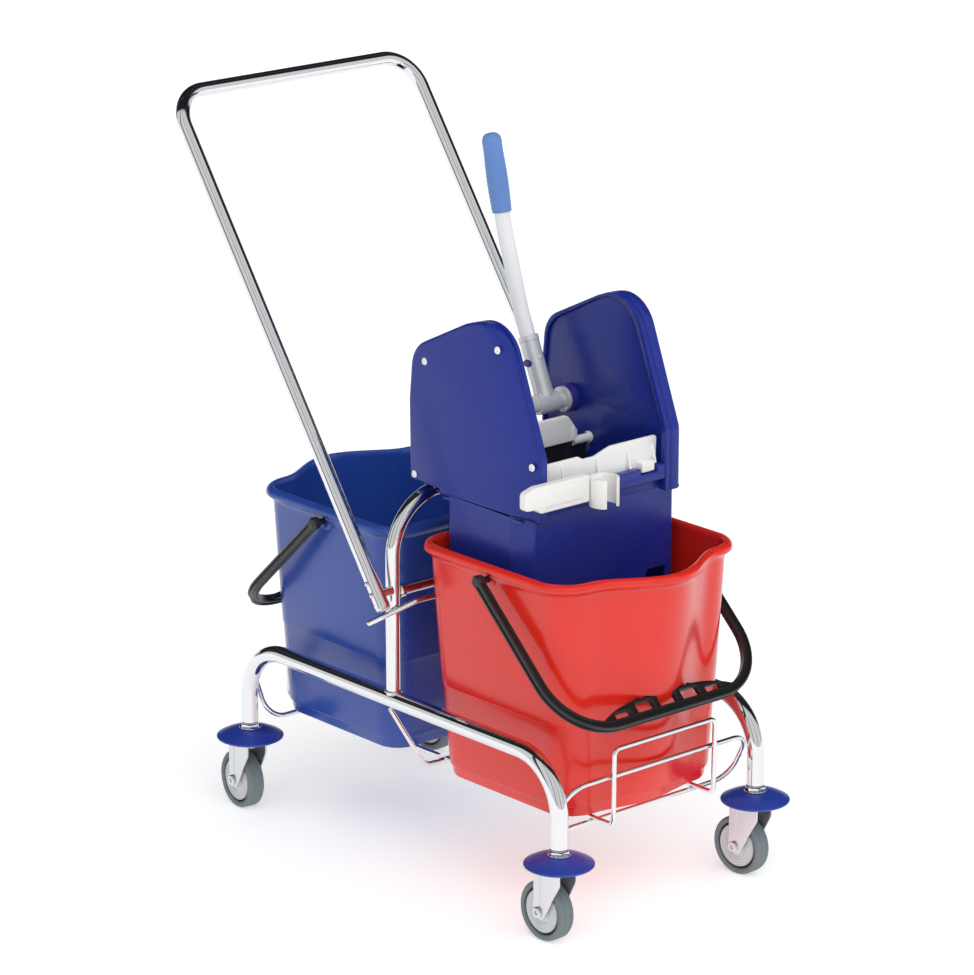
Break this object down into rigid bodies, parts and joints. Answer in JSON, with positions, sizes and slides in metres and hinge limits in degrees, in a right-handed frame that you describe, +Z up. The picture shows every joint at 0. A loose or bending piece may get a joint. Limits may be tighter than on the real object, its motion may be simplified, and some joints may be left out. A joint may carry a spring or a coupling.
{
  "type": "double bucket mop trolley",
  "caption": "Chrome frame on swivel casters with lift-out pails with bails, a push handle and a lever-worked jaw wringer for mops.",
  "frame": {"origin": "on the floor, under the middle of the cart's box", "axes": "+Z up; +Y along the cart towards the push handle and the blue bucket; +X to the right of someone looking along +Y"},
  "size_m": [0.412, 0.7402, 0.9362],
  "materials": {
    "chrome": "polished chrome plate",
    "zinc": "bright zinc plate",
    "bumper_blue": "moulded, soft sheen",
    "hub_grey": "moulded pale grey",
    "tyre": "non-marking grey rubber",
    "red_plastic": "glossy moulding",
    "blue_plastic": "satin moulding",
    "black_plastic": "satin black",
    "white_plastic": "moulded white",
    "lever_white": "white powder coat",
    "socket_grey": "silver-grey coat",
    "grip_blue": "soft satin grip",
    "nylon_blue": "dark blue nylon"
  },
  "bodies": {
    "frame": {"side_rail_left": "chrome", "side_rail_right": "chrome", "centre_hoop": "chrome", "hoop_crossbar": "chrome", "handle_rest_rod": "chrome", "rack_loop_front": "chrome", "rack_loop_rear": "chrome", "guard_runner_front": "chrome", "guard_runner_rear": "chrome", "cradle_wire": "chrome", "push_handle": "chrome", "handle_spacer_left": "chrome", "handle_spacer_right": "chrome", "handle_bolt_left": "zinc", "handle_bolt_right": "zinc", "bumper_disc_front_left": "bumper_blue", "bumper_disc_front_right": "bumper_blue", "bumper_disc_rear_left": "bumper_blue", "bumper_disc_rear_right": "bumper_blue", "caster_stem_front_left": "zinc", "caster_stem_front_right": "zinc", "caster_stem_rear_left": "zinc", "caster_stem_rear_right": "zinc"},
    "swivel_front_left": {"fork_front_left": "zinc", "axle_front_left": "zinc"},
    "wheel_front_left": {"wheel_hub_front_left": "hub_grey", "tyre_front_left": "tyre"},
    "swivel_front_right": {"fork_front_right": "zinc", "axle_front_right": "zinc"},
    "wheel_front_right": {"wheel_hub_front_right": "hub_grey", "tyre_front_right": "tyre"},
    "swivel_rear_left": {"fork_rear_left": "zinc", "axle_rear_left": "zinc"},
    "wheel_rear_left": {"wheel_hub_rear_left": "hub_grey", "tyre_rear_left": "tyre"},
    "swivel_rear_right": {"fork_rear_right": "zinc", "axle_rear_right": "zinc"},
    "wheel_rear_right": {"wheel_hub_rear_right": "hub_grey", "tyre_rear_right": "tyre"},
    "red_bucket": {"bucket_red": "red_plastic"},
    "blue_bucket": {"bucket_blue": "blue_plastic"},
    "red_bail": {"bail_red": "black_plastic"},
    "blue_bail": {"bail_blue": "black_plastic"},
    "wringer": {"wringer_body": "blue_plastic", "wringer_cover_left": "blue_plastic", "wringer_cover_right": "blue_plastic", "front_jaw": "white_plastic", "mop_clip": "white_plastic", "hanger_hook_left": "blue_plastic", "hanger_hook_right": "blue_plastic", "shaft_bush_left": "nylon_blue", "shaft_bush_right": "nylon_blue"},
    "lever": {"lever_shaft": "socket_grey", "lever_socket": "socket_grey", "lever_tube": "lever_white", "lever_grip": "grip_blue", "lever_pinion": "white_plastic"},
    "detent_button": {"lever_button": "nylon_blue"},
    "press": {"press_plate": "white_plastic", "press_sector": "white_plastic"}
  },
  "joints": [
    {"name": "swivel_turn_front_left", "type": "hinge", "parent": "frame", "child": "swivel_front_left", "pos_m": [-0.163, -0.3271, 0.09], "axis": [0, 0, 1], "continuous": true},
    {"name": "wheel_spin_front_left", "type": "hinge", "parent": "swivel_front_left", "child": "wheel_front_left", "pos_m": [-0.163, -0.3061, 0.0375], "axis": [1, 0, 0], "continuous": true},
    {"name": "swivel_turn_front_right", "type": "hinge", "parent": "frame", "child": "swivel_front_right", "pos_m": [0.163, -0.3271, 0.09], "axis": [0, 0, 1], "continuous": true},
    {"name": "wheel_spin_front_right", "type": "hinge", "parent": "swivel_front_right", "child": "wheel_front_right", "pos_m": [0.16154, -0.30615, 0.0375], "axis": [0.9976, 0.0698, 0], "continuous": true},
    {"name": "swivel_turn_rear_left", "type": "hinge", "parent": "frame", "child": "swivel_rear_left", "pos_m": [-0.163, 0.2629, 0.09], "axis": [0, 0, 1], "continuous": true},
    {"name": "wheel_spin_rear_left", "type": "hinge", "parent": "swivel_rear_left", "child": "wheel_rear_left", "pos_m": [-0.16044, 0.28374, 0.0375], "axis": [0.9925, -0.1219, 0], "continuous": true},
    {"name": "swivel_turn_rear_right", "type": "hinge", "parent": "frame", "child": "swivel_rear_right", "pos_m": [0.163, 0.2629, 0.09], "axis": [0, 0, 1], "continuous": true},
    {"name": "wheel_spin_rear_right", "type": "hinge", "parent": "swivel_rear_right", "child": "wheel_rear_right", "pos_m": [0.1619, 0.28387, 0.0375], "axis": [0.9986, 0.0523, 0], "continuous": true},
    {"name": "red_bucket_lift", "type": "slide", "parent": "frame", "child": "red_bucket", "axis": [0, 0, 1], "range_m": [0, 0.022]},
    {"name": "blue_bucket_lift", "type": "slide", "parent": "frame", "child": "blue_bucket", "axis": [0, 0.1483, 0.9889], "range_m": [0, 0.3]},
    {"name": "red_bail_swing", "type": "hinge", "parent": "red_bucket", "child": "red_bail", "pos_m": [0, -0.1806, 0.418], "axis": [-1, 0, 0], "range_deg": [0, 116]},
    {"name": "blue_bail_swing", "type": "hinge", "parent": "blue_bucket", "child": "blue_bail", "pos_m": [0, 0.1284, 0.418], "axis": [1, 0, 0], "range_deg": [0, 150]},
    {"name": "wringer_lift", "type": "slide", "parent": "frame", "child": "wringer", "axis": [0, 0, 1], "range_m": [0, 0.25]},
    {"name": "lever_swing", "type": "hinge", "parent": "wringer", "child": "lever", "pos_m": [0, -0.0541, 0.571], "axis": [1, 0, 0], "range_deg": [0, 100]},
    {"name": "press_swing", "type": "hinge", "parent": "wringer", "child": "press", "pos_m": [0, -0.0901, 0.5281], "axis": [1, 0, 0], "range_deg": [-40.2, 0]},
    {"name": "detent_push", "type": "slide", "parent": "lever", "child": "detent_button", "axis": [1, 0, 0], "range_m": [0, 0.003], "stiffness_N_per_m": 300}
  ],
  "couplings": [
    {"joint": "press_swing", "follows": "lever_swing", "ratio": -0.4}
  ]
}
